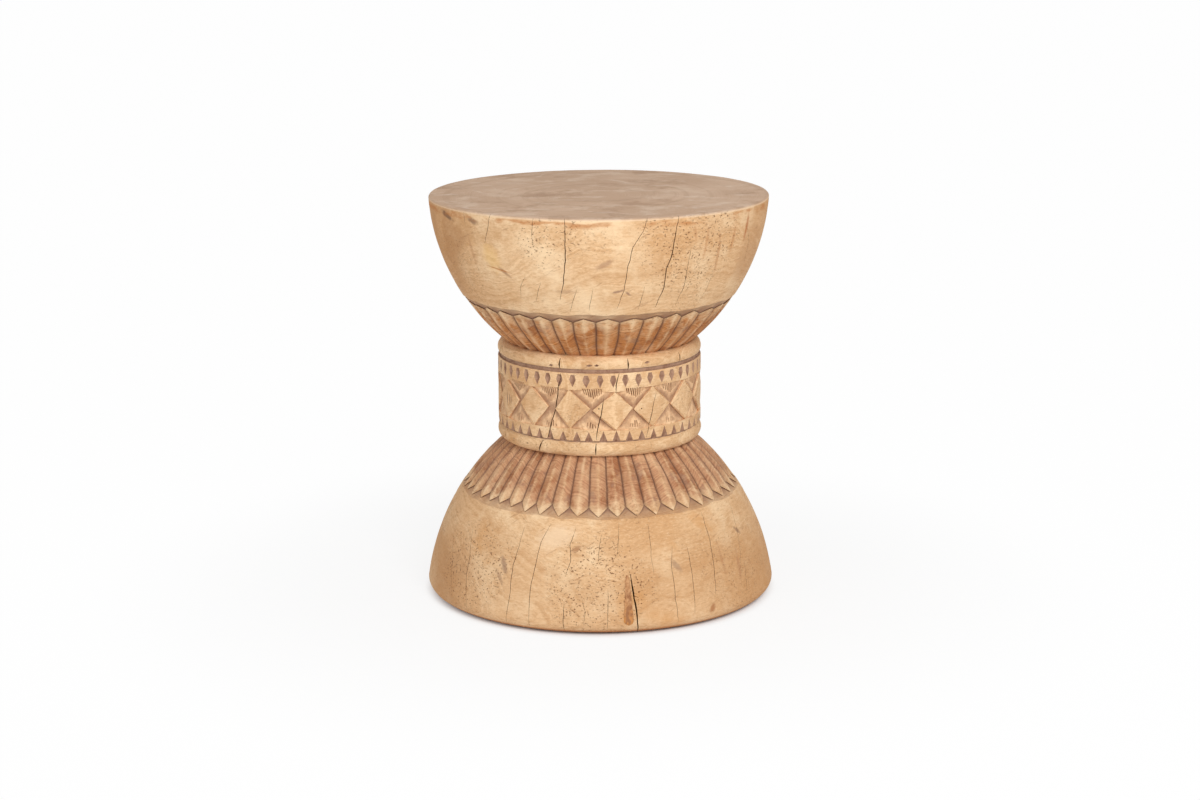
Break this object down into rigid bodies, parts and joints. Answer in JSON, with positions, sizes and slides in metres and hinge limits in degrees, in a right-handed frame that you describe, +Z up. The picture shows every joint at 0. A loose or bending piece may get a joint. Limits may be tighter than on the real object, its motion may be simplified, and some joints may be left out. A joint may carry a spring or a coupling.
{
  "type": "drum table",
  "caption": "Carved hardwood drum table: a flat-topped bowl and a wider upturned bowl joined by a straight waist with beads, diamonds and gouge cuts.",
  "frame": {"origin": "on the floor, under the middle of the foot", "axes": "+Z up to the table top; the pictured front, with the filler patch, looks along -Y; +X to its right"},
  "size_m": [0.436, 0.436, 0.5],
  "materials": {
    "bleached_wood": "dry, sun-bleached, open-pored",
    "wood_filler": "smooth filling, slightly waxy",
    "dowel_wood": "planed",
    "glide_plastic": "matt",
    "nail_steel": "bright"
  },
  "bodies": {
    "root": {"top_bowl": "bleached_wood", "waist_drum": "bleached_wood", "base_bowl": "bleached_wood", "filler_patch": "wood_filler", "upper_joint_dowels": "dowel_wood", "lower_joint_dowels": "dowel_wood", "glide_front_left": "glide_plastic", "glide_front_right": "glide_plastic", "glide_back_left": "glide_plastic", "glide_back_right": "glide_plastic", "glide_nails": "nail_steel"}
  },
  "joints": []
}
